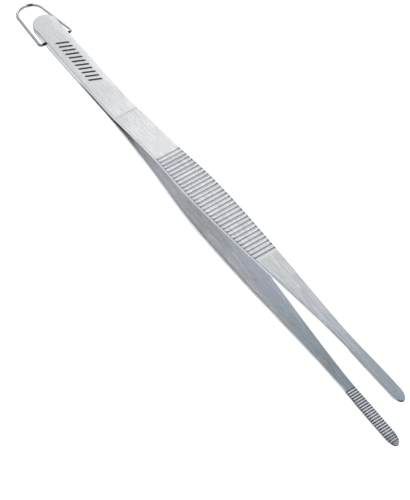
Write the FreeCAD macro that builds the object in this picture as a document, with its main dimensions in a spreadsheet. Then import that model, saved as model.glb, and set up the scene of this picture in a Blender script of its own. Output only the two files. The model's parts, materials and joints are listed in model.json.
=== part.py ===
import FreeCAD, Part
import math
import os

import Sketcher

# Long sprung steel tongs.  Two blades are cut from strip, laid back to back and welded round the
# head; past the weld they bend apart, bow gently and end in narrow serrated jaws.  A wire loop
# hangs in a cross-hole through the head.
#
# Tool frame: X runs from the head end to the jaw tips, Y across the blades, Z is the direction in
# which the jaws open, and Z = 0 is the seam between the two blades.  Every sub-part is drawn in
# the tool frame and then placed as the tongs lie on a table, on the loop and the lower blade.

VECTOR = FreeCAD.Vector
X_AXIS, Y_AXIS, Z_AXIS = VECTOR(1, 0, 0), VECTOR(0, 1, 0), VECTOR(0, 0, 1)

DRIVING_SIZES = [
    ("arm_length", 298.8, "head end to jaw tip"),
    ("head_thick", 2.2, "thickness of each arm at the head"),
    ("taper_angle", 0.1, "angle between the two faces of a blade past the bend, in degrees"),
    ("bend_start", 72.3, "where the arms start to bend apart"),
    ("bend_end", 82.3, "where the bend ends and the blades start to flex"),
    ("belly_at", 147.0, "end of the strongly bowed stretch"),
    ("jaw_at", 260.3, "start of the jaw, which turns back in"),
    ("splay_angle", 8.7, "slope of the outer face where the bend ends, in degrees"),
    ("belly_angle", 4.33, "slope at the end of the bowed stretch, in degrees"),
    ("jaw_angle", 2.82, "slope at the start of the jaw, in degrees"),
    ("tip_angle", 1.1, "slope at the jaw tip, in degrees"),
    ("head_width", 13.0, "width of the head"),
    ("waist_width", 12.8, "width where the arms bend apart"),
    ("grip_width", 15.5, "width of the grip at its widest"),
    ("neck_width", 5.1, "width of the neck behind the jaw"),
    ("jaw_width", 5.4, "width of the jaw"),
    ("tip_reach", 6.0, "length of the rounded end of the jaw"),
    ("blank_width", 24.0, "width of the strip before the outline is cut"),
    ("edge_round", 0.25, "rounding of the long edges"),
    ("weld_length", 50.3, "how far the weld runs from the head end"),
    ("weld_deep", 0.5, "depth of the weld below the sides of the head"),
    ("weld_half_height", 0.4, "half the height of the weld"),
    ("groove_count", 32, "grip grooves on each outer face"),
    ("groove_first", 120.2, "first grip groove"),
    ("groove_pitch", 2.533, "distance between grip grooves"),
    ("groove_wide", 0.8, "width of a grip groove"),
    ("groove_deep", 0.4, "depth of a grip groove"),
    ("tooth_count", 24, "serrations on each jaw"),
    ("tooth_first", 265.0, "first serration"),
    ("tooth_pitch", 1.389, "distance between serrations"),
    ("tooth_wide", 0.8, "width of a serration"),
    ("tooth_deep", 0.35, "depth of a serration"),
    ("wire_radius", 0.75, "radius of the loop's wire"),
    ("hole_radius", 0.8, "radius of the cross-hole, a running fit on the wire"),
    ("pivot_at", 16.9, "cross-hole to head end"),
    ("loop_reach", 33.0, "cross-hole to the middle of the wire at the loop's far end"),
    ("loop_half_width", 9.6, "half the distance between the loop's legs at the cross-hole"),
    ("loop_end_radius", 7.1, "radius of the loop's round end"),
    ("loop_corner", 1.6, "bend radius of the wire at each cross-hole pin"),
    ("pin_gap", 7.0, "free space between the ends of the two pins inside the cross-hole"),
    ("loop_drop", 7.0, "angle of the loop below the seam plane at rest, in degrees"),
    ("rest_tilt", 2.6255, "slope of the seam plane, up towards the jaws, at rest, in degrees"),
    ("shift_x", 0.0, "moves the part's middle over the origin"),
    ("shift_z", 0.0, "lifts the part onto Z = 0"),
]

doc = FreeCAD.newDocument("tongs")
sheet = doc.addObject("Spreadsheet::Sheet", "sizes")
for row, (alias, number, meaning) in enumerate(DRIVING_SIZES, start=1):
    sheet.set("A%d" % row, alias)
    sheet.set("B%d" % row, str(number))
    sheet.set("C%d" % row, meaning)
    sheet.setAlias("B%d" % row, alias)
doc.recompute()


def size(alias):
    """A driving dimension, read back from the sheet."""
    return float(sheet.get(alias))


def point(along, up):
    return VECTOR(along, up, 0)


# ---------------------------------------------------------------- side view of an arm

def bow_stretches():
    """(end, slope there in degrees) of each arc of the side view, from the bend to the tip."""
    return [(size("bend_end"), size("splay_angle")),
            (size("belly_at"), size("belly_angle")),
            (size("jaw_at"), size("jaw_angle")),
            (size("arm_length"), size("tip_angle"))]


def arc_between(start, slope_in, end_x, slope_out):
    """Arc from start whose slope goes from slope_in to slope_out by end_x: curve and end point."""
    curvature = (math.sin(slope_out) - math.sin(slope_in)) / (end_x - start.x)

    def on_arc(slope):
        along = start.x + (math.sin(slope) - math.sin(slope_in)) / curvature
        return point(along, start.y + (math.cos(slope_in) - math.cos(slope)) / curvature)

    end = on_arc(slope_out)
    return Part.Arc(start, on_arc((slope_in + slope_out) / 2), end), end


def face_curves(head_level, extra_slope):
    """Side view of one face of the upper arm: its curves from the head end to the tip.

    The face is flat at head_level up to the bend.  extra_slope, in degrees, is what makes the
    inner face close in on the outer one towards the tip.
    """
    here = point(size("bend_start"), head_level)
    curves = [Part.LineSegment(point(0, head_level), here)]
    slope = 0.0
    for end_x, degrees in bow_stretches():
        next_slope = math.radians(degrees + extra_slope)
        curve, here = arc_between(here, slope, end_x, next_slope)
        curves.append(curve)
        slope = next_slope
    return curves


OUTER_FACE = face_curves(size("head_thick"), 0.0)
INNER_FACE = face_curves(0.0, size("taper_angle"))
WELD_MARGIN = 2.0    # how far the weld's region is drawn past the head, before the outline cut
GROOVE_BOTTOM = 0.6  # width of a grip groove at its bottom, as a share of that at the face
TOOTH_BOTTOM = 0.3   # the same for a serration
BEND_CURVES = 2     # the flat and the bend belong to the head, the other arcs to the blade


def on_face(curves, along):
    """Point on a face's side view at a distance from the head end, and its unit tangent."""
    for curve in curves:
        start, end = curve.StartPoint, curve.EndPoint
        if along <= end.x + 1e-9 or curve is curves[-1]:
            break
    if isinstance(curve, Part.LineSegment):
        return point(along, start.y), VECTOR(1, 0, 0)
    circle = curve.toShape().Curve
    centre, radius = circle.Center, circle.Radius
    side = 1.0 if start.y > centre.y else -1.0
    rise = math.sqrt(radius ** 2 - (along - centre.x) ** 2)
    tangent = VECTOR(rise, -side * (along - centre.x), 0) / radius
    return point(along, centre.y + side * rise), tangent


# ---------------------------------------------------------------- outline of an arm, from above

# width of the arm, as a share of the grip's widest, at stations along the blade
BLADE_WIDTHS = [(98.3, 0.83), (116.3, 0.85), (144.0, 1.0), (168.3, 0.95), (192.3, 0.806),
                (223.3, 0.561), (248.3, 0.382)]
HEAD_PARALLEL_TO = 43.3     # the head keeps its full width up to here
NECK_TO_JAW = 16.0          # from the neck to where the jaw has its full width


def side_points():
    """Points of the outline along one long side, from the head to the jaw."""
    widths = [(HEAD_PARALLEL_TO, size("head_width")), (size("bend_start"), size("waist_width"))]
    widths += [(along, share * size("grip_width")) for along, share in BLADE_WIDTHS]
    widths += [(size("jaw_at"), size("neck_width")),
               (size("jaw_at") + NECK_TO_JAW, size("jaw_width"))]
    return [VECTOR(along, width / 2, 0) for along, width in widths]


def outline_curves():
    """The closed outline of an arm: round head end, two flowing sides, bullet-shaped tip."""
    head_radius = 0.5 * size("head_width")
    tip_start = size("arm_length") - size("tip_reach")
    half_tip = 0.5 * size("jaw_width")
    points = ([VECTOR(head_radius, head_radius, 0)] + side_points()
              + [VECTOR(tip_start, half_tip, 0)])
    far_side = Part.BSplineCurve()
    far_side.interpolate(Points=points, InitialTangent=X_AXIS, FinalTangent=X_AXIS)
    near_side = Part.BSplineCurve()
    near_side.interpolate(Points=[VECTOR(p.x, -p.y, 0) for p in points],
                          InitialTangent=X_AXIS, FinalTangent=X_AXIS)
    head_end = Part.Arc(VECTOR(head_radius, head_radius, 0), VECTOR(0, 0, 0),
                        VECTOR(head_radius, -head_radius, 0))
    tip_ellipse = Part.Ellipse(VECTOR(tip_start, 0, 0), size("tip_reach"), half_tip)
    tip_end = Part.ArcOfEllipse(tip_ellipse, -math.pi / 2, math.pi / 2)
    return [far_side, tip_end, near_side, head_end]


# ---------------------------------------------------------------- sketch and feature helpers

def new_body(label, placement_expressions):
    body = doc.addObject("PartDesign::Body", label)
    body.Label = label
    for path, expression in placement_expressions.items():
        body.setExpression("Placement." + path, expression)
    return body


def new_sketch(body, name, role):
    plane = [p for p in body.Origin.OriginFeatures if p.Role == role][0]
    sketch = body.newObject("Sketcher::SketchObject", name)
    sketch.AttachmentSupport = [(plane, "")]
    sketch.MapMode = "FlatFace"
    return sketch


def mirrored(p, upper):
    """A side-view point, turned over for the lower arm."""
    return point(p.x, p.y if upper else -p.y)


def mirrored_curve(curve, upper):
    if upper:
        return curve
    if isinstance(curve, Part.LineSegment):
        return Part.LineSegment(mirrored(curve.StartPoint, False), mirrored(curve.EndPoint, False))
    middle = curve.value((curve.FirstParameter + curve.LastParameter) / 2)
    return Part.Arc(mirrored(curve.StartPoint, False), mirrored(middle, False),
                    mirrored(curve.EndPoint, False))


def add_feature(body, kind, name, sketch, length_expression):
    """A pad or pocket of a sketch, the same distance to both sides of its plane."""
    feature = body.newObject(kind, name)
    feature.Profile = sketch
    feature.SideType = "Symmetric"
    feature.setExpression("Length", length_expression)
    sketch.Visibility = False
    return feature


def add_polygons(sketch, polygons):
    """Closed polygons, corner joined to corner."""
    for corners in polygons:
        first, count = sketch.GeometryCount, len(corners)
        following = corners[1:] + corners[:1]
        sketch.addGeometry([Part.LineSegment(a, b) for a, b in zip(corners, following)], False)
        sketch.addConstraint([Sketcher.Constraint("Coincident", first + n, 2,
                                                  first + (n + 1) % count, 1)
                              for n in range(count)])


def notch(face, along, wide, bottom_wide, deep, inward):
    """Cross-section of a groove cut square to a face; it tapers and starts clear of the face.

    inward is -1 where the metal lies below the face and 1 where it lies above.
    """
    middle, tangent = on_face(face, along)
    down = VECTOR(-tangent.y, tangent.x, 0) * inward * deep
    mouth_half = wide - bottom_wide / 2
    bottom_half = bottom_wide / 2
    return [middle - down - tangent * mouth_half, middle - down + tangent * mouth_half,
            middle + down + tangent * bottom_half, middle + down - tangent * bottom_half]


def is_rim(edge, face, upper):
    """True for an edge that follows the outline along the given face."""
    middle = edge.valueAt((edge.FirstParameter + edge.LastParameter) / 2)
    ends = [vertex.Point for vertex in edge.Vertexes]
    if len(ends) < 2:
        return False
    runs_across = max(abs(end.x - middle.x) for end in ends) < 1e-4
    level = mirrored(on_face(face, middle.x)[0], upper).y
    return not runs_across and abs(middle.z - level) < 0.01


def rim_names(shape, upper):
    """Names of the long edges of an arm piece, round both of its broad faces."""
    return ["Edge%d" % (n + 1) for n, edge in enumerate(shape.Edges)
            if is_rim(edge, OUTER_FACE, upper) or is_rim(edge, INNER_FACE, upper)]


REST_PLACEMENT = {
    "Rotation.Axis.x": "0", "Rotation.Axis.y": "1", "Rotation.Axis.z": "0",
    "Rotation.Angle": "-sizes.rest_tilt * 1deg",
    "Base.x": "sizes.shift_x * 1mm", "Base.z": "sizes.shift_z * 1mm",
}


# ---------------------------------------------------------------- the arms

def trim_to_outline(body, label):
    """Cuts away all that lies outside the outline of an arm, and returns the cut."""
    outline = new_sketch(body, label + "_outline", "XY_Plane")
    outline.addGeometry(outline_curves(), False)
    margin, half = 10.0, size("blank_width")
    length = size("arm_length")
    add_polygons(outline, [[VECTOR(-margin, -half, 0), VECTOR(length + margin, -half, 0),
                            VECTOR(length + margin, half, 0), VECTOR(-margin, half, 0)]])
    trim = add_feature(body, "PartDesign::Pocket", label + "_trim", outline,
                       "4 * sizes.blank_width")
    doc.recompute()
    return trim


def build_arm_piece(label, upper, first, last):
    """Pads the side view of a stretch of an arm and cuts it to the outline."""
    body = new_body(label, REST_PLACEMENT)
    outer, inner = OUTER_FACE[first:last], INNER_FACE[first:last]
    edges = [mirrored_curve(c, upper) for c in outer + inner]
    edges.append(Part.LineSegment(mirrored(outer[0].StartPoint, upper),
                                  mirrored(inner[0].StartPoint, upper)))
    edges.append(Part.LineSegment(mirrored(outer[-1].EndPoint, upper),
                                  mirrored(inner[-1].EndPoint, upper)))
    side_view = new_sketch(body, label + "_side_view", "XZ_Plane")
    side_view.addGeometry(edges, False)
    add_feature(body, "PartDesign::Pad", label + "_strip", side_view, "sizes.blank_width")
    return body, trim_to_outline(body, label)


def cut_notches(body, name, sections, upper):
    """Cuts a row of grooves, given by their sections on the upper arm, across the blade."""
    sketch = new_sketch(body, name + "_sketch", "XZ_Plane")
    add_polygons(sketch, [[mirrored(p, upper) for p in section] for section in sections])
    add_feature(body, "PartDesign::Pocket", name, sketch, "sizes.blank_width")
    doc.recompute()


def round_rims(body, trim, upper, name):
    fillet = body.newObject("PartDesign::Fillet", name)
    fillet.Base = (trim, rim_names(trim.Shape, upper))
    fillet.setExpression("Radius", "sizes.edge_round")
    doc.recompute()


def weld_strip(sketch):
    """U-shaped region of the weld, reaching a little past the sides of the head."""
    turn_at = 0.5 * size("head_width")
    inside, outside = turn_at - size("weld_deep"), turn_at + WELD_MARGIN
    length = size("weld_length")
    corners = [VECTOR(turn_at, inside, 0), VECTOR(length, inside, 0), VECTOR(length, outside, 0),
               VECTOR(-WELD_MARGIN, outside, 0), VECTOR(-WELD_MARGIN, -outside, 0),
               VECTOR(length, -outside, 0), VECTOR(length, -inside, 0),
               VECTOR(turn_at, -inside, 0)]
    round_turn = Part.Arc(corners[-1], VECTOR(turn_at - inside, 0, 0), corners[0])
    sketch.addGeometry([Part.LineSegment(a, b) for a, b in zip(corners, corners[1:])], False)
    sketch.addGeometry(round_turn, False)


def cut_cross_hole(body, name):
    """The hole through the head that the loop's pins turn in."""
    hole = new_sketch(body, name + "_sketch", "XZ_Plane")
    hole.addGeometry(Part.Circle(point(size("pivot_at"), 0), Z_AXIS, size("hole_radius")), False)
    hole.addConstraint(Sketcher.Constraint("Radius", 0, size("hole_radius")))
    hole.addConstraint(Sketcher.Constraint("PointOnObject", 0, 3, -1))
    hole.addConstraint(Sketcher.Constraint("DistanceX", -1, 1, 0, 3, size("pivot_at")))
    hole.setExpression("Constraints[0]", "sizes.hole_radius")
    hole.setExpression("Constraints[2]", "sizes.pivot_at")
    add_feature(body, "PartDesign::Pocket", name, hole, "sizes.blank_width")
    doc.recompute()


def build_head(label, upper):
    """The welded half of an arm: flat head and bend, recessed for the weld and the pins."""
    body, trim = build_arm_piece(label, upper, 0, BEND_CURVES)
    round_rims(body, trim, upper, label + "_round")
    recess = new_sketch(body, label + "_recess_sketch", "XY_Plane")
    weld_strip(recess)
    add_feature(body, "PartDesign::Pocket", label + "_recess", recess,
                "2 * sizes.weld_half_height")
    cut_cross_hole(body, label + "_hole")
    return body


def build_weld():
    """The weld bead, ground flush with the head: a U round the head end, along the seam."""
    body = new_body("seam_weld", REST_PLACEMENT)
    strip = new_sketch(body, "weld_strip", "XY_Plane")
    weld_strip(strip)
    add_feature(body, "PartDesign::Pad", "weld_bead", strip, "2 * sizes.weld_half_height")
    trim_to_outline(body, "weld")
    cut_cross_hole(body, "weld_hole")
    return body


def build_blade(label, upper):
    """The free half of an arm: rounded edges, grip grooves outside, serrations inside."""
    body, trim = build_arm_piece(label, upper, BEND_CURVES, len(OUTER_FACE))
    round_rims(body, trim, upper, label + "_round")
    grooves = [notch(OUTER_FACE, size("groove_first") + n * size("groove_pitch"),
                     size("groove_wide"), GROOVE_BOTTOM * size("groove_wide"),
                     size("groove_deep"), -1)
               for n in range(int(size("groove_count")))]
    teeth = [notch(INNER_FACE, size("tooth_first") + n * size("tooth_pitch"),
                   size("tooth_wide"), TOOTH_BOTTOM * size("tooth_wide"),
                   size("tooth_deep"), 1)
             for n in range(int(size("tooth_count")))]
    cut_notches(body, label + "_grip", grooves, upper)
    cut_notches(body, label + "_teeth", teeth, upper)
    return body


# ---------------------------------------------------------------- the loop

def across_axis(p):
    """The point mirrored across the tongs' middle line."""
    return VECTOR(p.x, -p.y, 0)


def loop_path():
    """The wire's middle line from one pin end to the other, in the loop's own frame.

    The frame's origin is in the cross-hole; the pins lie along Y and the loop reaches to -X.
    """
    half, corner = size("loop_half_width"), size("loop_corner")
    end_radius = size("loop_end_radius")
    end_middle = VECTOR(end_radius - size("loop_reach"), 0, 0)
    # each straight leg runs from its corner to touch the round end, so it leans inwards
    lean = math.atan2(half, -end_middle.x) - math.asin(end_radius / math.hypot(half, end_middle.x))
    along_leg = VECTOR(-math.cos(lean), -math.sin(lean), 0)
    square_to_leg = VECTOR(-math.sin(lean), math.cos(lean), 0)
    half_turn = (math.pi / 2 + lean) / 2
    setback = corner * math.tan(half_turn)

    sharp_corner = VECTOR(0, half, 0)
    pin_end = VECTOR(0, size("pin_gap") / 2, 0)
    corner_in = sharp_corner - Y_AXIS * setback
    corner_out = sharp_corner + along_leg * setback
    to_corner_middle = (along_leg - Y_AXIS).normalize() * (corner / math.cos(half_turn) - corner)
    corner_middle = sharp_corner + to_corner_middle
    leg_end = end_middle + square_to_leg * end_radius

    one_side = [pin_end, corner_in, corner_middle, corner_out, leg_end]
    other_side = [across_axis(p) for p in reversed(one_side)]
    path = []
    for ends in (one_side, other_side):
        first, bend_in, bend_middle, bend_out, last = ends
        path += [Part.LineSegment(first, bend_in), Part.Arc(bend_in, bend_middle, bend_out),
                 Part.LineSegment(bend_out, last)]
    round_end = Part.Arc(leg_end, VECTOR(-size("loop_reach"), 0, 0), across_axis(leg_end))
    path.insert(len(path) // 2, round_end)
    return path


def build_loop():
    """The hanging loop: one piece of round wire whose two ends turn in to the cross-hole."""
    body = new_body("hanging_loop", {
        "Rotation.Axis.x": "0", "Rotation.Axis.y": "1", "Rotation.Axis.z": "0",
        "Rotation.Angle": "-(sizes.rest_tilt + sizes.loop_drop) * 1deg",
        "Base.x": "(sizes.shift_x + sizes.pivot_at * cos(sizes.rest_tilt * 1deg)) * 1mm",
        "Base.z": "(sizes.shift_z + sizes.pivot_at * sin(sizes.rest_tilt * 1deg)) * 1mm",
    })
    path = new_sketch(body, "loop_path", "XY_Plane")
    path.addGeometry(loop_path(), False)
    path.addConstraint([Sketcher.Constraint("Coincident", n, 2, n + 1, 1)
                        for n in range(path.GeometryCount - 1)])
    section = new_sketch(body, "wire_section", "XZ_Plane")
    section.setExpression("AttachmentOffset.Base.z", "-sizes.pin_gap / 2 * 1mm")
    section.addGeometry(Part.Circle(VECTOR(0, 0, 0), Z_AXIS, size("wire_radius")), False)
    section.addConstraint(Sketcher.Constraint("Coincident", 0, 3, -1, 1))
    section.addConstraint(Sketcher.Constraint("Radius", 0, size("wire_radius")))
    section.setExpression("Constraints[1]", "sizes.wire_radius")
    wire = body.newObject("PartDesign::AdditivePipe", "loop_wire")
    wire.Profile = section
    wire.Spine = path
    doc.recompute()
    return body


# ---------------------------------------------------------------- the assembly

SUB_PARTS = [build_head("upper_arm_head", True), build_head("lower_arm_head", False),
             build_blade("upper_arm_blade", True), build_blade("lower_arm_blade", False),
             build_weld(), build_loop()]


def stand_over_origin():
    """Puts the origin on the table, under the middle of the box round the whole tongs."""
    box = FreeCAD.BoundBox()
    for body in SUB_PARTS:
        box.add(body.Shape.optimalBoundingBox(False))
    aliases = [alias for alias, _number, _meaning in DRIVING_SIZES]
    for alias, shift in (("shift_x", -box.Center.x), ("shift_z", -box.ZMin)):
        sheet.set("B%d" % (1 + aliases.index(alias)), "%.4f" % shift)
    doc.recompute()


def check_model():
    """Stops before anything is written if a feature failed or a sub-part isn't a sound solid."""
    for item in doc.Objects:
        if "Invalid" in item.State or "Error" in item.State:
            raise RuntimeError("%s failed: %s" % (item.Name, item.State))
    for body in SUB_PARTS:
        shape = body.Shape
        if shape.isNull() or not shape.isValid() or not shape.Solids:
            raise RuntimeError("%s has no valid solid" % body.Label)


stand_over_origin()
check_model()
os.makedirs("parts", exist_ok=True)
for body in SUB_PARTS:
    body.Shape.exportStep("parts/%s.step" % body.Label)
    print(body.Label, "%.1f mm3" % body.Shape.Volume, len(body.Shape.Solids), "solids")
print("shift", size("shift_x"), size("shift_z"))
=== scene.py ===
"""Looks of the long steel spring tongs: two ground and brushed arms, their weld and a wire loop.

Pieces are drawn in the tool frame, in millimetres: X from the head end to the jaw tips, Y across
the arms, Z = 0 on the seam between them.  The frame's joints say where that frame lies.
"""
import json
import math

import bmesh
import bpy
import numpy as np
from mathutils import Matrix, Vector


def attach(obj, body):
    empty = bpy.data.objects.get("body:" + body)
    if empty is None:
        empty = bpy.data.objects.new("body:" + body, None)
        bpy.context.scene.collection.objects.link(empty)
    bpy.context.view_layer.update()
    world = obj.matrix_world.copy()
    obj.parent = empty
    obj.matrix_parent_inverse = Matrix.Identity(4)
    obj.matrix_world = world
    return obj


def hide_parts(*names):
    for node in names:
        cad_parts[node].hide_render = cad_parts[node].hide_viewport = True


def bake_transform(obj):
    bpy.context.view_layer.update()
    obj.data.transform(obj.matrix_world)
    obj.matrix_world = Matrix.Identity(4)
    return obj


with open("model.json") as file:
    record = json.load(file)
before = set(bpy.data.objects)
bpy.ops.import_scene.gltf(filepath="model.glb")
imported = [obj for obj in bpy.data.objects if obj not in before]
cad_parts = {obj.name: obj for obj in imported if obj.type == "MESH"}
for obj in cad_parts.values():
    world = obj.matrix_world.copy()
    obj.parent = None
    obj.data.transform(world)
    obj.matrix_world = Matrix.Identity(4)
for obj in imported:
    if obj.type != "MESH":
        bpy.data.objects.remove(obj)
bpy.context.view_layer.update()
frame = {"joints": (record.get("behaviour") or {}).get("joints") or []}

MM = 0.001

# ---------------------------------------------------------------- sizes, as in the CAD model
#
# Only the sections of the grooves and serrations differ from it, and the outer faces, the tips
# and the wire are a hair smaller.

ARM_LENGTH = 298.8
HEAD_THICK = 2.2            # thickness of each arm at the head
SKIN = 0.0005               # the drawn outer faces lie this far inside the CAD model's
TAPER_ANGLE = 0.1           # degrees between the two faces of a blade
BEND_START, BEND_END = 72.3, 82.3
BOW = [(BEND_END, 8.7), (147.0, 4.33), (260.3, 2.82), (ARM_LENGTH, 1.1)]   # station, slope
HEAD_WIDTH, WAIST_WIDTH, GRIP_WIDTH, NECK_WIDTH, JAW_WIDTH = 13.0, 12.8, 15.5, 5.1, 5.4
HEAD_RADIUS = HEAD_WIDTH / 2
HEAD_PARALLEL_TO = 43.3     # the head keeps its full width up to here
# between waist and neck: (station, share of the grip's width)
BLADE_WIDTHS = [(98.3, 0.83), (116.3, 0.85), (144.0, 1.0), (168.3, 0.95), (192.3, 0.806),
                (223.3, 0.561), (248.3, 0.382)]
NECK_AT, JAW_FULL_AT = 260.3, 276.3
TIP_START, TIP_REACH = 292.8, 5.985
EDGE_ROUND = 0.25
WELD_LENGTH, WELD_DEEP, WELD_HALF_HEIGHT = 50.3, 0.5, 0.4
GROOVES = {"count": 32, "first": 120.2, "pitch": 2.533, "wide": 0.8, "bottom": 0.62, "deep": 0.30,
           "lean": 0.0}
TEETH = {"count": 24, "first": 265.0, "pitch": 1.389, "wide": 0.62, "bottom": 0.26, "deep": 0.35,
         "lean": 0.045}      # the flat behind each serration starts this much lower
LAST_TOOTH = TEETH["first"] + (TEETH["count"] - 1) * TEETH["pitch"]
BROKEN_EDGE, BROKEN_EDGE_DROP = 0.07, 0.04      # width and depth of a notch's broken edges
SEAM_CLEARANCE, CLEARANCE_OVER = 0.05, 4.0      # half the gap beyond the weld, reached over 4 mm
SCRIBE = [(-0.25, 0.0), (-0.05, 0.04), (0.05, 0.04), (0.25, 0.0)]     # crease where the bend ends
WIRE_RADIUS, HOLE_RADIUS = 0.749, 0.8
PIVOT_AT = 16.9
LOOP_REACH, LOOP_HALF_WIDTH, LOOP_END_RADIUS, LOOP_CORNER = 33.0, 9.6, 7.1, 1.6
LOOP_REST_DROP = 7.0        # degrees of the loop below the seam, at rest
PIN_GAP = 7.0               # between the ends of the two pins

# ---------------------------------------------------------------- the tool frame

JOINTS = {joint["name"]: joint for joint in frame["joints"]}


def joint_place(name):
    return Vector(JOINTS[name]["pos_m"])


PIVOT = joint_place("loop_swing")
BEND_MIDDLE = (joint_place("upper_flex") + joint_place("lower_flex")) / 2
ALONG = (BEND_MIDDLE - PIVOT).normalized()
ACROSS = Vector((0, 1, 0))
OPENING = ALONG.cross(ACROSS)
HEAD_END = PIVOT - ALONG * PIVOT_AT * MM


def to_row(points):
    """Tool-frame points in millimetres as row-frame points in metres."""
    axes = np.array([ALONG, ACROSS, OPENING])
    return np.asarray(points, float) @ axes * MM + np.array(HEAD_END)


# ---------------------------------------------------------------- the shape of an arm

def clamped_spline(xs, ys):
    """Smooth curve through the points, level at both ends: gives height and slope at x."""
    xs, ys = np.array(xs, float), np.array(ys, float)
    gaps, rises = np.diff(xs), np.diff(ys)
    count = len(xs)
    system, target = np.eye(count), np.zeros(count)
    for i in range(1, count - 1):
        before, after = gaps[i - 1], gaps[i]
        system[i, i - 1:i + 2] = 1 / before, 2 / before + 2 / after, 1 / after
        target[i] = 3 * (rises[i - 1] / before ** 2 + rises[i] / after ** 2)
    slopes = np.linalg.solve(system, target)

    def curve(x):
        i = int(np.clip(np.searchsorted(xs, x) - 1, 0, count - 2))
        span, share = gaps[i], (x - xs[i]) / gaps[i]
        start, end = slopes[i] * span, slopes[i + 1] * span
        a, b = 2 * (ys[i] - ys[i + 1]) + start + end, 3 * (ys[i + 1] - ys[i]) - 2 * start - end
        height = ((a * share + b) * share + start) * share + ys[i]
        return height, ((3 * a * share + 2 * b) * share + start) / span

    return curve


SIDE_POINTS = ([(HEAD_RADIUS, HEAD_WIDTH), (HEAD_PARALLEL_TO, HEAD_WIDTH),
                (BEND_START, WAIST_WIDTH)]
               + [(station, share * GRIP_WIDTH) for station, share in BLADE_WIDTHS]
               + [(NECK_AT, NECK_WIDTH), (JAW_FULL_AT, JAW_WIDTH), (TIP_START, JAW_WIDTH)])
side_curve = clamped_spline([p[0] for p in SIDE_POINTS], [p[1] / 2 for p in SIDE_POINTS])


def outline_at(station):
    """Point of the outline (x, half-width) and its outward normal."""
    if station < HEAD_RADIUS:
        angle = math.acos(1 - station / HEAD_RADIUS)
        normal = (-math.cos(angle), math.sin(angle))
        return (station, HEAD_RADIUS * math.sin(angle)), normal
    if station > TIP_START:
        share = min(1.0, (station - TIP_START) / TIP_REACH)
        angle = math.asin(share)
        half = JAW_WIDTH / 2
        normal = np.array([math.sin(angle) / TIP_REACH, math.cos(angle) / half])
        normal /= np.linalg.norm(normal)
        return (station, half * math.cos(angle)), tuple(normal)
    half, slope = side_curve(station)
    length = math.hypot(1, slope)
    return (station, half), (-slope / length, 1 / length)


def half_width_at(station):
    return outline_at(station)[0][1]


def level_at(x, start_level, extra_slope):
    """Height of one face of the upper arm at x: a flat head, then a chain of arcs."""
    if x <= BEND_START:
        return start_level
    begin, level, slope = BEND_START, start_level, 0.0
    for end, degrees in BOW:
        next_slope = math.radians(degrees + extra_slope)
        curvature = (math.sin(next_slope) - math.sin(slope)) / (end - begin)
        here = min(x, end) if end < ARM_LENGTH else x
        slope_here = math.asin(math.sin(slope) + curvature * (here - begin))
        level += (math.cos(slope) - math.cos(slope_here)) / curvature
        if x <= end:
            break
        begin, slope = end, next_slope
    return level


def outer_level(x):
    return level_at(x, HEAD_THICK - SKIN, 0.0)


def inner_level(x):
    """Height of the inner face, which stands a hair off the seam beyond the weld."""
    clear = SEAM_CLEARANCE * min(1.0, max(0.0, (x - WELD_LENGTH) / CLEARANCE_OVER))
    return level_at(x, 0.0, TAPER_ANGLE) + clear


def notch_stations(row):
    """(station, depth) pairs across every groove of a row, with slightly broken edges."""
    half, bottom, lean = row["wide"] / 2, row["bottom"] / 2, row["lean"]
    shape = [(-half - BROKEN_EDGE, 0.0), (-half, BROKEN_EDGE_DROP), (-bottom, row["deep"]),
             (bottom, row["deep"]), (half, BROKEN_EDGE_DROP + lean), (half + BROKEN_EDGE, lean)]
    return [(row["first"] + n * row["pitch"] + offset, depth)
            for n in range(row["count"]) for offset, depth in shape]


RING_STEP, BEND_RING_STEP = 1.5, 0.5    # between two rings of an arm, and of its bend
ARC_RINGS = 22                          # rings round the head end, and round a tip
NOTCH_ROOM = 0.35                       # other rings keep this far off those of the notches
WELD_END_STEP = 0.05                    # the weld's recess ends between two rings this far off


def arm_stations():
    """Stations along an arm, close together where it curves, with groove and tooth depths."""
    scribe = [(BEND_END + offset, depth) for offset, depth in SCRIBE]
    grooves, teeth = scribe + notch_stations(GROOVES), notch_stations(TEETH)
    cut = grooves + teeth
    quarter_turn = np.linspace(0, math.pi / 2, ARC_RINGS)
    plain = [HEAD_RADIUS * (1 - math.cos(angle)) for angle in quarter_turn]
    plain += list(np.arange(HEAD_RADIUS + RING_STEP, BEND_START, RING_STEP))
    plain += list(np.arange(BEND_START, BEND_END + 4 * BEND_RING_STEP, BEND_RING_STEP))
    plain += list(np.arange(BEND_END + 2 * RING_STEP, TIP_START - BEND_RING_STEP, RING_STEP))
    plain += [TIP_START + TIP_REACH * math.sin(angle) for angle in quarter_turn]
    plain += [WELD_LENGTH - WELD_END_STEP, WELD_LENGTH + WELD_END_STEP]
    kept = [s for s in plain if all(abs(s - c) > NOTCH_ROOM for c, _ in cut) or s > TIP_START]
    xs = sorted(set(round(s, 4) for s in kept + [c for c, _ in cut if c < ARM_LENGTH]))
    groove_depth = np.interp(xs, *zip(*grooves), left=0, right=0)
    tooth_depth = np.interp(xs, *zip(*teeth), left=0, right=0)
    return list(zip(xs, groove_depth, tooth_depth))


FACE_STEPS = 7       # points from the middle of a face to its edge
ROUND_STEPS = 5      # points round an edge
WALL_RISES = (1.5, 1.15, 0.9, 0.65)      # points on the side, above the inner face


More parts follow.
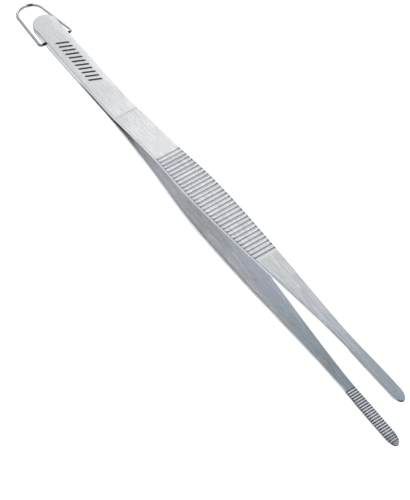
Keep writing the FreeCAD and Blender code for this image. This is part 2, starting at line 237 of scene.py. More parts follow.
def half_section(welded):
    """Section of an arm from the middle of the outer face round the side to the inner face.

    Each point is (share of the inset half-width, inset, drop below the outer face, rise above
    the inner face); exactly one of drop and rise is given.
    """
    faces = [(share, EDGE_ROUND) for share in np.linspace(0, 1, FACE_STEPS)[:-1]]
    rounds = [(EDGE_ROUND * (1 - math.sin(a)), EDGE_ROUND * (1 - math.cos(a)))
              for a in np.linspace(0, math.pi / 2, ROUND_STEPS)]
    points = [(share, inset, 0.0, None) for share, inset in faces]
    points += [(1.0, inset, drop, None) for inset, drop in rounds]
    points += [(1.0, 0.0, None, rise) for rise in WALL_RISES]
    if welded:      # square recess for the weld
        recess = [(0.0, WELD_HALF_HEIGHT), (0.0, WELD_HALF_HEIGHT),
                  (WELD_DEEP, WELD_HALF_HEIGHT), (WELD_DEEP, WELD_HALF_HEIGHT / 2),
                  (WELD_DEEP, 0.0)]
        points += [(1.0, inset, None, rise) for inset, rise in recess]
        points += [(share, WELD_DEEP, None, 0.0) for share, _ in reversed(faces)]
    else:
        points += [(1.0, inset, None, rise) for inset, rise in reversed(rounds)]
        points += [(share, inset, None, 0.0) for share, inset in reversed(faces)]
    return points


def arm_ring(station, groove, tooth):
    """One closed ring of points round the upper arm."""
    (x, half), normal = outline_at(station)
    right = []
    for share, inset, drop, rise in half_section(station < WELD_LENGTH):
        px, py = x - inset * normal[0], share * (half - inset * normal[1])
        if rise is None:
            level = outer_level(px) - max(drop, groove)
        else:
            level = inner_level(px) + max(rise, tooth)
        right.append((px, py, level))
    left = [(px, -py, level) for px, py, level in reversed(right[1:-1])]
    return right + left


# ---------------------------------------------------------------- meshes

def placed(name, data):
    """A new object of the scene, which holds a mesh, a light or a camera."""
    obj = bpy.data.objects.new(name, data)
    bpy.context.scene.collection.objects.link(obj)
    return obj


UV_PER_MM = 0.01                # the grain's UV is in units of 100 mm
SAME_POINT = 2e-6               # metres; closer points are merged
EMPTY_EDGE = 1e-7               # metres; shorter edges are dissolved
ARM_SHARP, WIRE_SHARP = 30.0, 50.0      # degrees; steeper edges are shaded sharp
DRILL_LENGTH, DRILL_SIDES = 40.0, 48


def ring_mesh(name, rings, closed_ends, flip=False, finish_and_painted_light=None, grain_at=None):
    """Skins a list of equal closed rings.

    The grain's UV runs along the rings' path and round them, unless grain_at(point, side) gives
    it.  finish_and_painted_light(x, y, z) gives the colour, painted light and shade included, that
    multiplies the steel's at a point, and the strength of the grain there.
    """
    count, size = len(rings), len(rings[0])
    points = np.array(rings, float)
    faces, uvs = [], []
    middles = points.mean(axis=1)
    along = np.concatenate([[0], np.cumsum(np.linalg.norm(np.diff(middles, axis=0), axis=1))])
    around = np.zeros((count, size + 1))
    wrapped = np.concatenate([points, points[:, :1]], axis=1)
    around[:, 1:] = np.cumsum(np.linalg.norm(np.diff(wrapped, axis=1), axis=2), axis=1)
    around -= around[:, -1:] / 2
    for i in range(count - 1):
        for k in range(size):
            k2 = (k + 1) % size
            quad = [(i, k, k), (i + 1, k, k), (i + 1, k2, k + 1), (i, k2, k + 1)]
            if flip:
                quad.reverse()
            faces.append([row * size + column for row, column, _ in quad])
            if grain_at:
                side = math.copysign(1, sum(points[row, column, 1] for row, column, _ in quad))
                places = [grain_at(points[row, column], side) for row, column, _ in quad]
            else:
                places = [(along[row], around[row, wrap]) for row, _, wrap in quad]
            uvs += [(u * UV_PER_MM, v * UV_PER_MM) for u, v in places]
    if closed_ends:
        caps = [list(range(size)), [(count - 1) * size + k for k in reversed(range(size))]]
        for row, cap in zip((0, count - 1), caps):
            faces.append(cap[::-1] if flip else cap)
            uvs += [(along[row] * UV_PER_MM, 0.0)] * size
    mesh = bpy.data.meshes.new(name)
    flat = points.reshape(-1, 3)
    mesh.from_pydata(to_row(flat).tolist(), [], faces)
    layer = mesh.uv_layers.new(name="grain")
    layer.data.foreach_set("uv", np.array(uvs, float).ravel())
    tones = mesh.color_attributes.new("finish_and_painted_light", "FLOAT_COLOR", "POINT")
    colours = [finish_and_painted_light(*point) if finish_and_painted_light else (1, 1, 1, 1) for point in flat]
    tones.data.foreach_set("color", np.array(colours, float).ravel())
    return placed(name, mesh)


def finish_mesh(obj, sharp_degrees):
    """Merges doubled points, drops empty faces, turns faces outwards and shades smoothly."""
    work = bmesh.new()
    work.from_mesh(obj.data)
    bmesh.ops.remove_doubles(work, verts=work.verts, dist=SAME_POINT)
    bmesh.ops.dissolve_degenerate(work, edges=work.edges, dist=EMPTY_EDGE)
    bmesh.ops.recalc_face_normals(work, faces=work.faces)
    work.to_mesh(obj.data)
    work.free()
    for polygon in obj.data.polygons:
        polygon.use_smooth = True
    obj.data.set_sharp_from_angle(angle=math.radians(sharp_degrees))


def cut_cross_hole(obj):
    """Drills the hole that the loop's pins turn in."""
    bpy.ops.mesh.primitive_cylinder_add(vertices=DRILL_SIDES, radius=HOLE_RADIUS * MM,
                                        depth=DRILL_LENGTH * MM, location=PIVOT,
                                        rotation=(math.pi / 2, 0, 0))
    drill = bpy.context.object
    cut = obj.modifiers.new("cross_hole", "BOOLEAN")
    cut.operation, cut.solver, cut.object = "DIFFERENCE", "EXACT", drill
    with bpy.context.temp_override(object=obj):
        bpy.context.view_layer.objects.active = obj
        bpy.ops.object.modifier_apply(modifier="cross_hole")
    bpy.data.objects.remove(drill)


# ---------------------------------------------------------------- surface tone and painted light of the arms
#
# Every brightness and colour here multiplies the steel's own, and many of them are painted light
# and shade.  A pair of stations is the stretch of an arm over which a zone fades in or out.

# strength of the lengthwise grain: (station, strength)
GRAIN = [(0, 0.4), (80, 0.4), (118, 0.5), (135, 0.9), (200, 1.0), (215, 1.4), (300, 1.7)]
INNER_GRAIN = 1.5                               # times stronger on the inner faces
HEAD_PAINTED_SHADE, HEAD_PAINTED_SHADE_OUT = 0.15, (8, 82)        # painted shade: the head darker than the grip, fading out over this stretch
# painted light and shade along both arms: (station, brightness)
ALONG_PAINTED_LIGHT = [(75, 1.0), (84, 0.97), (105, 1.0), (140, 1.03), (196, 1.01), (206, 0.96),
          (222, 0.98), (236, 0.99), (246, 1.03), (256, 0.99), (278, 1.01), (290, 1.05)]
NEAR_FACE = 0.3                 # a point no deeper than this belongs to a face, not to the side

# painted highlight by the far edge and painted shade by the near edge, across the upper arm's
# outer face at the head: (share of the half-width, brightness)
HEAD_PAINTED_HIGHLIGHT = [(-1.0, 0.94), (-0.6, 1.0), (0.25, 1.0), (0.6, 1.08), (0.8, 1.17), (1.0, 1.22)]
HEAD_PAINTED_HIGHLIGHT_OUT = [(0.7, (58, 66)), (0.3, (100, 116))]      # share lost over each stretch

SLOT_TONE = np.array([1.05, 1.04, 1.04])        # pressed grooves that the grinding didn't reach
SLOT_END_DARK, SLOT_END = 0.4, (0.72, 0.98)     # darker towards their ends
SLOT_FULL = 0.6                                 # share of a groove's depth with its full tone

TOOTH_DARK = np.array([0.64, 0.60, 0.57])       # middle of a serration
TOOTH_END_DARK = np.array([0.08, 0.06, 0.05])
TOOTH_END = (0.4, 2.2)                          # millimetres from the middle
TOOTH_FULL = 0.5                                # share of a serration's depth with its full tone
LAND_TONE = np.array([0.97, 0.96, 0.98])        # flats between the serrations
TIP_FLAT = np.array([0.92, 0.82, 0.78])         # flat beyond the last serration
TIP_FLAT_OVER = 0.6

INNER_TINT = np.array([0.975, 0.97, 1.0])       # faint blue tint of the steel between the arms
INNER_TINT_IN, INNER_TINT_OUT = (92, 100), (200, 225)
SEAM_PAINTED_SHADE = np.array([0.16, 0.14, 0.13])        # painted shade in the open seam
SEAM_PAINTED_SHADE_IN, SEAM_PAINTED_SHADE_OUT = (50, 62), (72, 84)
# painted light on the steel between the arms: (station, brightness)
CROTCH_PAINTED_LIGHT = [(80, 1.0), (88, 1.35), (100, 1.36), (110, 1.26), (130, 1.14), (144, 1.0),
                 (192, 1.0), (206, 1.08), (222, 1.0)]
# painted light and shade across the lower arm's inner face, under the grip and beyond it:
# (share of the half-width, brightness)
INNER_PAINTED_EARLY = [(-1.0, 1.22), (-0.75, 1.13), (-0.55, 0.92), (-0.3, 0.78), (0.0, 0.82), (0.4, 1.0)]
INNER_PAINTED_EARLY_IN, INNER_PAINTED_EARLY_OUT = (102, 116), (162, 180)
INNER_PAINTED_LATE = [(-1.0, 0.96), (-0.3, 1.0), (0.7, 1.26)]
INNER_PAINTED_LATE_IN, INNER_PAINTED_LATE_OUT = (165, 180), (215, 235)
PAINTED_SHADE_BAND = np.array([0.92, 0.89, 0.87])       # painted shade: a band behind the serrations
PAINTED_SHADE_BAND_IN, PAINTED_SHADE_BAND_OUT = (236, 244), (250, 257)

WALL_DULL = np.array([0.80, 0.79, 0.80])        # sheared sides of the strips
EDGE_DARK, EDGE_DARK_IN = 0.5, (190, 220)       # rounded long edges of the slim half
EDGE_DEPTHS = (0.05, 0.34)                      # where those edges lie, below the outer face
# painted shade line under the seam, on the lower arm's sides: (station, height of its middle)
SEAM_SHADE_LINE = [(14, -2.2), (44, -2.0), (58, -1.4), (66, -1.2), (76, -1.0), (88, -1.0)]
SEAM_SHADE_LINE_HALF = 1.9
# and how dark it is: (station, share of the light lost)
SEAM_SHADE_LINE_DEEP = [(14, 0.0), (22, 0.4), (38, 0.45), (48, 0.65), (56, 0.9), (60, 0.995), (78, 0.99),
                  (84, 0.6), (90, 0.3), (96, 0.0)]
OFF_OUTER_FACE = 0.01           # the line takes in the rounded edge but not the outer face
TIP_PAINTED_REFLECTION = np.array([0.12, 0.13, 0.17])         # painted dark reflection on the jaw's sheared end
TIP_PAINTED_REFLECTION_IN = (ARM_LENGTH - 3.0, ARM_LENGTH - 1.0)
TIP_WALL = 0.2                  # how far from both faces the sheared end starts


def smooth_step(value, low, high):
    share = min(1.0, max(0.0, (value - low) / (high - low)))
    return share * share * (3 - 2 * share)


def zone(x, fade_in, fade_out):
    """1 between two stretches of an arm, rising over the first and falling over the second."""
    return smooth_step(x, *fade_in) * (1 - smooth_step(x, *fade_out))


def read_off(table, x):
    """Value at x of a table of (x, value) pairs."""
    return np.interp(x, *zip(*table))


def tinted(tone, factor, share=1.0):
    """The tone times the factor, as far as the share goes from none of it (0) to all (1)."""
    return tone * (1 + (factor - 1) * share)


def head_face_tone(tone, x, y):
    short_of_tip = min(x, ARM_LENGTH - 0.1)
    half_width = half_width_at(short_of_tip) if x > HEAD_RADIUS else HEAD_RADIUS
    left = 1 - sum(lost * smooth_step(x, *stretch) for lost, stretch in HEAD_PAINTED_HIGHLIGHT_OUT)
    return tinted(tone, read_off(HEAD_PAINTED_HIGHLIGHT, y / half_width), left)


def groove_tone(tone, x, y, depth):
    share = min(1.0, depth / (SLOT_FULL * GROOVES["deep"]))
    end_dark = SLOT_END_DARK * smooth_step(abs(y) / half_width_at(x), *SLOT_END)
    return tinted(tone, SLOT_TONE * (1 - end_dark), share)


def jaw_tone(tone, x, y, depth):
    """Serrations, the flats between them and the flat beyond the last one."""
    share = min(1.0, max(0.0, depth - 2 * TEETH["lean"]) / (TOOTH_FULL * TEETH["deep"]))
    dark = TOOTH_DARK + (TOOTH_END_DARK - TOOTH_DARK) * smooth_step(abs(y), *TOOTH_END)
    beyond = smooth_step(x, LAST_TOOTH, LAST_TOOTH + TIP_FLAT_OVER)
    land = LAND_TONE + (TIP_FLAT - LAND_TONE) * beyond
    return tone * (land + (dark - land) * share)


def inner_face_tone(tone, x, y, z):
    tone = tinted(tone, INNER_TINT, zone(x, INNER_TINT_IN, INNER_TINT_OUT))
    # painted shade in the open seam
    tone = tinted(tone, SEAM_PAINTED_SHADE, zone(x, SEAM_PAINTED_SHADE_IN, SEAM_PAINTED_SHADE_OUT))
    # painted light on the steel between the arms
    tone = tone * read_off(CROTCH_PAINTED_LIGHT, x)
    if z < 0:
        share = y / half_width_at(x)
        # painted light and shade across the lower arm's inner face
        early, late = read_off(INNER_PAINTED_EARLY, share), read_off(INNER_PAINTED_LATE, share)
        tone = tinted(tone, early, zone(x, INNER_PAINTED_EARLY_IN, INNER_PAINTED_EARLY_OUT))
        tone = tinted(tone, late, zone(x, INNER_PAINTED_LATE_IN, INNER_PAINTED_LATE_OUT))
    # painted shade band behind the serrations
    return tinted(tone, PAINTED_SHADE_BAND, zone(x, PAINTED_SHADE_BAND_IN, PAINTED_SHADE_BAND_OUT))


def side_tone(tone, x, z, below_outer, above_inner):
    """The arms' sides and rounded edges, with the painted shade line under the seam and the
    painted dark reflection on the tips' sheared ends.
    """
    if below_outer > NEAR_FACE and above_inner > NEAR_FACE:
        tone = tone * WALL_DULL
    if EDGE_DEPTHS[0] < below_outer < EDGE_DEPTHS[1]:
        tone = tinted(tone, 1 - EDGE_DARK, smooth_step(x, *EDGE_DARK_IN))
    # painted shade line under the seam
    if z < 0 and below_outer > OFF_OUTER_FACE and SEAM_SHADE_LINE[0][0] < x < SEAM_SHADE_LINE_DEEP[-1][0]:
        off = (z - read_off(SEAM_SHADE_LINE, x)) / SEAM_SHADE_LINE_HALF
        tone = tone * (1 - read_off(SEAM_SHADE_LINE_DEEP, x) * math.exp(-off * off))
    # painted dark reflection on the tips' sheared ends
    if x > TIP_START and below_outer > TIP_WALL and above_inner > TIP_WALL:
        tone = tinted(tone, TIP_PAINTED_REFLECTION, smooth_step(x, *TIP_PAINTED_REFLECTION_IN))
    return tone


def arm_tone_and_painted_light(x, y, z):
    """Colour multiplier, painted light and shade included, and grain strength at a tool-frame
    point of either arm.
    """
    grain = read_off(GRAIN, x)
    below_outer, above_inner = outer_level(x) - abs(z), abs(z) - inner_level(x)
    # painted shade on the head
    tone = np.ones(3) * (1 - HEAD_PAINTED_SHADE * (1 - smooth_step(x, *HEAD_PAINTED_SHADE_OUT)))
    # painted light and shade along both arms
    tone = tone * read_off(ALONG_PAINTED_LIGHT, x)
    # painted highlight by the far edge of the head, painted shade by its near edge
    if z > 0 and below_outer < NEAR_FACE:
        tone = head_face_tone(tone, x, y)
    grooves_end = GROOVES["first"] + GROOVES["count"] * GROOVES["pitch"]
    if GROOVES["first"] - 1 < x < grooves_end and below_outer < above_inner:
        tone = groove_tone(tone, x, y, below_outer)
    if x > TEETH["first"] - 1 and above_inner < below_outer:
        tone = jaw_tone(tone, x, y, above_inner)
    if above_inner < NEAR_FACE:
        grain = grain * INNER_GRAIN
        tone = inner_face_tone(tone, x, y, z)
    return (*side_tone(tone, x, z, below_outer, above_inner), grain)


def arm_grain(point, side):
    """Lengthwise grain of an arm: x, and the way across the faces and down the sides."""
    x, y, z = point
    return x, y + side * (outer_level(x) - abs(z))


def build_arm(name, upper):
    rings = [arm_ring(*station) for station in arm_stations()]
    if not upper:
        rings = [[(x, y, -z) for x, y, z in ring] for ring in rings]
    arm = ring_mesh(name, rings, False, flip=not upper, finish_and_painted_light=arm_tone_and_painted_light, grain_at=arm_grain)
    finish_mesh(arm, ARM_SHARP)
    cut_cross_hole(arm)
    arm.data.set_sharp_from_angle(angle=math.radians(ARM_SHARP))
    return arm


# ---------------------------------------------------------------- weld

WELD_PROUD, WELD_RIPPLE = 0.012, 0.006      # how far the ground bead stands out, and how unevenly
RIPPLE_TURNS = (1.7, 0.43)                  # radians from one ring to the next, of its two waves


def build_weld():
    """The ground weld bead along the seam, a U round the head."""
    side = [s for s, _, _ in arm_stations() if s <= WELD_LENGTH]
    path = [(outline_at(s), 1) for s in reversed(side)] + [(outline_at(s), -1) for s in side[1:]]
    rings = []
    for n, (((x, half), normal), turn) in enumerate(path):
        wave = math.sin(RIPPLE_TURNS[0] * n) * math.sin(RIPPLE_TURNS[1] * n)
        proud = WELD_PROUD + WELD_RIPPLE * wave
        section = [(WELD_DEEP, -1.0), (0.0, -1.0), (-proud, -0.5), (-proud, 0.5), (0.0, 1.0),
                   (WELD_DEEP, 1.0)]
        rings.append([(x - inset * normal[0], turn * (half - inset * normal[1]),
                       level * WELD_HALF_HEIGHT) for inset, level in section])
    weld = ring_mesh("seam_weld_bead", rings, True)
    finish_mesh(weld, WIRE_SHARP)
    cut_cross_hole(weld)
    return weld


# ---------------------------------------------------------------- loop

PIN_POINTS, CORNER_POINTS, LEG_POINTS, END_POINTS = 8, 14, 26, 22
WIRE_SIDES = 24
# rounded ends of the pins: (share of the wire's radius, millimetres in from the very end)
PIN_END = [(0.55, 0.0), (0.85, 0.1), (1.0, 0.18)]


def arc(middle, radius, angles):
    return [middle + radius * np.array([math.cos(angle), math.sin(angle)]) for angle in angles]


def loop_line():
    """The wire's middle line in the loop's own frame: pins on Y, the round end towards -X."""
    end_middle = np.array([LOOP_END_RADIUS - LOOP_REACH, 0.0])
    lean = (math.atan2(LOOP_HALF_WIDTH, -end_middle[0])
            - math.asin(LOOP_END_RADIUS / math.hypot(LOOP_HALF_WIDTH, end_middle[0])))
    corner_turn = math.pi / 2 + lean
    setback = LOOP_CORNER * math.tan(corner_turn / 2)
    corner_in = np.array([0.0, LOOP_HALF_WIDTH - setback])
    corner_middle = corner_in + np.array([-LOOP_CORNER, 0.0])
    line = [np.array([0.0, y]) for y in np.linspace(PIN_GAP / 2, corner_in[1], PIN_POINTS)]
    line += arc(corner_middle, LOOP_CORNER, np.linspace(0, corner_turn, CORNER_POINTS)[1:])
    leg_start = line[-1]
    leg_end = arc(end_middle, LOOP_END_RADIUS, [corner_turn])[0]
    line += [leg_start + (leg_end - leg_start) * share
             for share in np.linspace(0, 1, LEG_POINTS)[1:]]
    line += arc(end_middle, LOOP_END_RADIUS, np.linspace(corner_turn, math.pi, END_POINTS)[1:])
    mirrored = [np.array([x, -y]) for x, y in reversed(line[:-1])]
    return line + mirrored


WIRE_PAINTED_SHADE = 0.82               # painted shade: how much darker the wire's sides and underside are than its top
WIRE_TOP = (-0.1, 0.95)         # heights, as shares of its radius, over which it turns bright out of the painted shade
# painted light and shade round the loop: (degrees from its far end, brightness)
WIRE_PAINTED_LIGHT = [(-90, 0.68), (-65, 0.8), (-35, 1.25), (0, 1.5), (45, 1.3), (90, 1.1)]
# painted dark reflection on the round end: degrees from its far end, half its length in degrees,
# how dark
LOOP_PAINTED_REFLECTION_AT, LOOP_PAINTED_REFLECTION_HALF, LOOP_PAINTED_REFLECTION = 27.0, 15.0, 0.85
PIN_PAINTED_SHADE, PIN_PAINTED_SHADE_OUT = 0.9, (7.8, 8.8)        # painted shade where the pins go into the head, fading out at this Y
WIRE_BLUE = 1.02                # the wire is a trace bluer than its other two colours


def wire_tone_and_painted_light(x, y, z):
    """Colour multiplier, painted light and shade included, and grain strength at a tool-frame
    point of the loop.
    """
    drop = math.radians(LOOP_REST_DROP)
    reach = (x - PIVOT_AT) * math.cos(drop) + z * math.sin(drop)
    level = z * math.cos(drop) - (x - PIVOT_AT) * math.sin(drop)
    past_legs = LOOP_END_RADIUS - LOOP_REACH - reach
    round_end = math.degrees(math.atan2(y, past_legs))
    # painted shade on the wire's sides and underside
    tone = 1 - WIRE_PAINTED_SHADE * (1 - smooth_step(level / WIRE_RADIUS, *WIRE_TOP))
    # painted light and shade round the loop
    tone *= read_off(WIRE_PAINTED_LIGHT, round_end)
    # painted dark reflection on the round end
    if past_legs > 0:
        off = (round_end - LOOP_PAINTED_REFLECTION_AT) / LOOP_PAINTED_REFLECTION_HALF
        tone *= 1 - LOOP_PAINTED_REFLECTION * math.exp(-off ** 4)
    # painted shade where the pins go into the head
    if reach > -2 * WIRE_RADIUS:
        tone *= 1 - PIN_PAINTED_SHADE * (1 - smooth_step(abs(y), *PIN_PAINTED_SHADE_OUT))
    return tone, tone, tone * WIRE_BLUE, 1.0


def build_loop():
    line = loop_line()
    drop = math.radians(LOOP_REST_DROP)
    directions = np.gradient(np.array(line), axis=0)
    last = len(line) - 1
    steps = [(0, share, inward) for share, inward in PIN_END]
    steps += [(n, 1.0, 0.0) for n in range(1, last)]
    steps += [(last, share, -inward) for share, inward in reversed(PIN_END)]
    rings = []
    for n, share, shift in steps:
        direction = directions[n] / np.linalg.norm(directions[n])
        sideways = np.array([-direction[1], direction[0]])
        middle = line[n] + direction * shift
        ring = []
        for angle in np.linspace(0, 2 * math.pi, WIRE_SIDES + 1)[:-1]:
            flat = middle + sideways * WIRE_RADIUS * share * math.cos(angle)
            level = WIRE_RADIUS * share * math.sin(angle)
            # turned down about the pins
            x = flat[0] * math.cos(drop) - level * math.sin(drop)
            z = flat[0] * math.sin(drop) + level * math.cos(drop)
            ring.append((PIVOT_AT + x, flat[1], z))
        rings.append(ring)
    loop = ring_mesh("wire_loop", rings, True, finish_and_painted_light=wire_tone_and_painted_light)
    finish_mesh(loop, WIRE_SHARP)
    return loop


# ---------------------------------------------------------------- etched mark

MARK_FROM, MARK_TO, MARK_BARS = 23.3, 54.3, 11
MARK_HALF_HEIGHT, MARK_SLANT, MARK_BAR = 2.6, 1.2, 1.3
MARK_SUNK, MARK_PROUD = 0.1, 0.012      # each bar's bottom and top, below and above the face
BAR_END_POINTS = 9


def build_mark():
    """A plain etched pattern of slanted bars on the head."""
    vertices, faces = [], []
    for n in range(MARK_BARS):
        middle = MARK_FROM + (MARK_TO - MARK_FROM) * n / (MARK_BARS - 1)
        first = len(vertices)
        ring = []
        for side in (1, -1):
            for angle in np.linspace(0, math.pi, BAR_END_POINTS):
                across = side * MARK_BAR / 2 * math.cos(angle)
                up = side * (MARK_HALF_HEIGHT + MARK_BAR / 2 * math.sin(angle))
                ring.append((middle + across + MARK_SLANT * up / MARK_HALF_HEIGHT, up))
        for level in (HEAD_THICK - MARK_SUNK, HEAD_THICK + MARK_PROUD):
            vertices += [(x, y, level) for x, y in ring]
        size = len(ring)
        faces += [[first + k, first + (k + 1) % size, first + size + (k + 1) % size,
                   first + size + k] for k in range(size)]
        faces.append([first + size + k for k in range(size)])
        faces.append([first + k for k in reversed(range(size))])
    mesh = bpy.data.meshes.new("etched_bars")
    mesh.from_pydata(to_row(vertices).tolist(), [], faces)
    return placed("etched_bars", mesh)


# ---------------------------------------------------------------- materials

# noise of the brushed steel: scale along and across the grain, and weight in its brightness
STREAKS, STREAKS_WEIGHT = (12, 130), 0.50
SCRATCHES, SCRATCHES_WEIGHT = (4, 420), 0.50
SPECKLE, SPECKLE_WEIGHT = (65, 140), 0.40
STAINS, STAINS_WEIGHT = (5, 9), 0.06
STREAKS_ROUGH, STAINS_ROUGH = -0.22, 0.10       # weights in its roughness
STREAKS_HEIGHT, SCRATCHES_HEIGHT = 0.7, 0.6     # weights in its relief
RELIEF_DEEP = 0.012 * MM

FLOOR_GLOW = 0.75       # a light table: no hard shadows


def new_material(name):
    material = bpy.data.materials.new(name)
    material.use_nodes = True
    nodes, links = material.node_tree.nodes, material.node_tree.links
    return material, nodes, links, nodes["Principled BSDF"]


def noise(nodes, links, vector, scale, detail=2.0):
    """Noise whose scale differs along and across the grain."""
    texture = nodes.new("ShaderNodeTexNoise")
    texture.inputs["Scale"].default_value = 1.0
    texture.inputs["Detail"].default_value = detail
    stretch = nodes.new("ShaderNodeMapping")
    stretch.inputs["Scale"].default_value = (*scale, 1.0)
    links.new(vector, stretch.inputs["Vector"])
    links.new(stretch.outputs["Vector"], texture.inputs["Vector"])
    return texture.outputs["Fac"]


def add_up(nodes, links, start, terms):
    """start + the sum of weight * (value - 0.5) over the terms."""
    total = start - 0.5 * sum(weight for _, weight in terms)
    before = None
    for value, weight in terms:
        step = nodes.new("ShaderNodeMath")
        step.operation = "MULTIPLY_ADD"
        step.inputs[1].default_value = weight
        links.new(value, step.inputs[0])
        if before is None:
            step.inputs[2].default_value = total
        else:
            links.new(before, step.inputs[2])
        before = step.outputs["Value"]
    return before


def steel(name, colour, roughness, coarse=1.0, contrast=1.0, bump=1.0):
    """Brushed steel: fine scratches that run along the piece, on soft stains and wear.

    coarse is how many times coarser than an arm's the scratches are.  The mesh's colour
    attribute, painted light and shade included, tints the steel, and its alpha is the strength of
    the scratches.
    """
    material, nodes, links, shader = new_material(name)
    place = nodes.new("ShaderNodeUVMap")
    place.uv_map = "grain"
    uv = place.outputs["UV"]
    streaks = noise(nodes, links, uv, (STREAKS[0] / coarse, STREAKS[1] / coarse), 3.0)
    scratches = noise(nodes, links, uv, (SCRATCHES[0] / coarse, SCRATCHES[1] / coarse))
    speckle = noise(nodes, links, uv, (SPECKLE[0] / coarse, SPECKLE[1] / coarse))
    stains = noise(nodes, links, uv, STAINS)
    finish_and_painted_light = nodes.new("ShaderNodeVertexColor")
    finish_and_painted_light.layer_name = "finish_and_painted_light"
    plain = add_up(nodes, links, 1.0, [(speckle, SPECKLE_WEIGHT * contrast),
                                       (stains, STAINS_WEIGHT * contrast)])
    brushed = add_up(nodes, links, 0.0, [(streaks, STREAKS_WEIGHT * contrast),
                                         (scratches, SCRATCHES_WEIGHT * contrast)])
    mixed = nodes.new("ShaderNodeMath")
    mixed.operation = "MULTIPLY_ADD"
    links.new(brushed, mixed.inputs[0])
    links.new(finish_and_painted_light.outputs["Alpha"], mixed.inputs[1])
    links.new(plain, mixed.inputs[2])
    toned = nodes.new("ShaderNodeVectorMath")
    toned.operation = "SCALE"
    toned.inputs[0].default_value = colour
    links.new(mixed.outputs["Value"], toned.inputs["Scale"])
    finished = nodes.new("ShaderNodeVectorMath")
    finished.operation = "MULTIPLY"
    links.new(toned.outputs["Vector"], finished.inputs[0])
    links.new(finish_and_painted_light.outputs["Color"], finished.inputs[1])
    links.new(finished.outputs["Vector"], shader.inputs["Base Color"])
    rough = add_up(nodes, links, roughness, [(streaks, STREAKS_ROUGH * contrast),
                                             (stains, STAINS_ROUGH * contrast)])
    links.new(rough, shader.inputs["Roughness"])
    height = add_up(nodes, links, 0.5, [(streaks, STREAKS_HEIGHT), (scratches, SCRATCHES_HEIGHT)])
    relief = nodes.new("ShaderNodeBump")
    relief.inputs["Strength"].default_value = 1.0
    relief.inputs["Distance"].default_value = RELIEF_DEEP * bump
    links.new(height, relief.inputs["Height"])
    links.new(relief.outputs["Normal"], shader.inputs["Normal"])
    shader.inputs["Metallic"].default_value = 1.0
    return material


def mottled(name, scale, dark, light, roughness, by_object=False):
    """Matt material whose colour drifts between two near shades, over the object's own box.

    by_object lets it drift over metres of the object instead.
    """
    material, nodes, links, shader = new_material(name)
    speckle = nodes.new("ShaderNodeTexNoise")
    speckle.inputs["Scale"].default_value = scale
    if by_object:
        place = nodes.new("ShaderNodeTexCoord")
        links.new(place.outputs["Object"], speckle.inputs["Vector"])
    shades = nodes.new("ShaderNodeValToRGB")
    shades.color_ramp.elements[0].color = (*dark, 1)
    shades.color_ramp.elements[1].color = (*light, 1)
    links.new(speckle.outputs["Fac"], shades.inputs["Fac"])
    links.new(shades.outputs["Color"], shader.inputs["Base Color"])
    shader.inputs["Roughness"].default_value = roughness
    return material


def floor_paint():
    material = mottled("pale_floor", 3.0, (0.93, 0.93, 0.93), (0.96, 0.96, 0.96), 0.9)
    shader = material.node_tree.nodes["Principled BSDF"]
    shader.inputs["Emission Color"].default_value = (1, 1, 1, 1)
    shader.inputs["Emission Strength"].default_value = FLOOR_GLOW
    return material


ARM_STEEL = steel("arm_steel", (0.67, 0.66, 0.645), 0.30)
WIRE_STEEL = steel("wire_steel", (0.76, 0.72, 0.68), 0.2, contrast=0.15, bump=0.2)
WELD_STEEL = steel("weld_steel", (0.66, 0.65, 0.635), 0.34, coarse=1.5)
ETCH = mottled("etched_steel", 4000.0, (0.05, 0.045, 0.042), (0.10, 0.09, 0.085), 0.65, True)

# ---------------------------------------------------------------- build

for side, upper in (("upper", True), ("lower", False)):
    arm = build_arm(side + "_arm", upper)
    arm.data.materials.append(ARM_STEEL)
    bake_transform(arm)
    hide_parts(side + "_arm_head", side + "_arm_blade")

weld = build_weld()
weld.data.materials.append(WELD_STEEL)
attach(weld, "head")
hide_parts("seam_weld")

loop = build_loop()
loop.data.materials.append(WIRE_STEEL)
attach(loop, "loop")
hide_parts("hanging_loop")

mark = build_mark()
mark.data.materials.append(ETCH)
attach(mark, "head")

# ---------------------------------------------------------------- stage, light and camera

FLOOR_SIZE = 6.0
KEY_COLOUR = (1.03, 0.98, 0.955)
WORLD_COLOUR, WORLD_STRENGTH = (0.67, 0.84, 1.0, 1), 0.435

bpy.ops.mesh.primitive_plane_add(size=FLOOR_SIZE, location=(0, 0, 0))
floor = bpy.context.object
floor.name = "floor"
floor.data.materials.append(floor_paint())


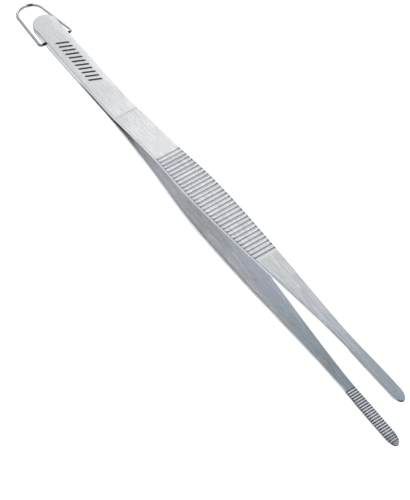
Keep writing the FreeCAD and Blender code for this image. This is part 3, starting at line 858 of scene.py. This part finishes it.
def soft_light(name, place, aim, size, power, colour=(1, 1, 1)):
    data = bpy.data.lights.new(name, "AREA")
    data.shape, data.size, data.size_y = "RECTANGLE", size[0], size[1]
    data.energy, data.color = power, colour
    light = placed(name, data)
    light.location = place
    light.rotation_mode = "QUATERNION"
    light.rotation_quaternion = (Vector(aim) - Vector(place)).to_track_quat("-Z", "Y")


soft_light("key_far", place=(-1.65, 1.1, 1.0), aim=(-1.65, 1.1, 0), size=(0.86, 2.6), power=7.6,
           colour=KEY_COLOUR)
soft_light("key_near", place=(-0.95, 1.1, 1.0), aim=(-0.95, 1.1, 0), size=(0.60, 2.6), power=4.3,
           colour=KEY_COLOUR)
soft_light("fill", place=(1.3, -0.4, 1.3), aim=(0, 0, 0), size=(1.5, 1.5), power=5.6)

world = bpy.data.worlds.new("studio")
bpy.context.scene.world = world
world.use_nodes = True
background = world.node_tree.nodes["Background"]
background.inputs["Color"].default_value = WORLD_COLOUR
background.inputs["Strength"].default_value = WORLD_STRENGTH

CAMERA_AIM = Vector((0.03205, -0.0160, 0.015))
CAMERA_AZIMUTH, CAMERA_ELEVATION, CAMERA_ROLL = 54.53, 54.68, 1.04      # degrees
CAMERA_DISTANCE = 0.8246
CAMERA_LENS = 128.5
CAMERA_RANGE = (0.01, 20)

azimuth, elevation = math.radians(CAMERA_AZIMUTH), math.radians(CAMERA_ELEVATION)
backwards = Vector((math.sin(azimuth) * math.cos(elevation),
                    -math.cos(azimuth) * math.cos(elevation), math.sin(elevation)))
camera_data = bpy.data.cameras.new("camera")
camera_data.lens = CAMERA_LENS
camera_data.clip_start, camera_data.clip_end = CAMERA_RANGE
camera = placed("camera", camera_data)
camera.location = CAMERA_AIM + backwards * CAMERA_DISTANCE
level_turn = (-backwards).to_track_quat("-Z", "Y").to_matrix()
roll = Matrix.Rotation(math.radians(CAMERA_ROLL), 3, "Z")
camera.rotation_mode = "QUATERNION"
camera.rotation_quaternion = (level_turn @ roll).to_quaternion()
bpy.context.scene.camera = camera
bpy.context.scene.view_settings.view_transform = "Standard"
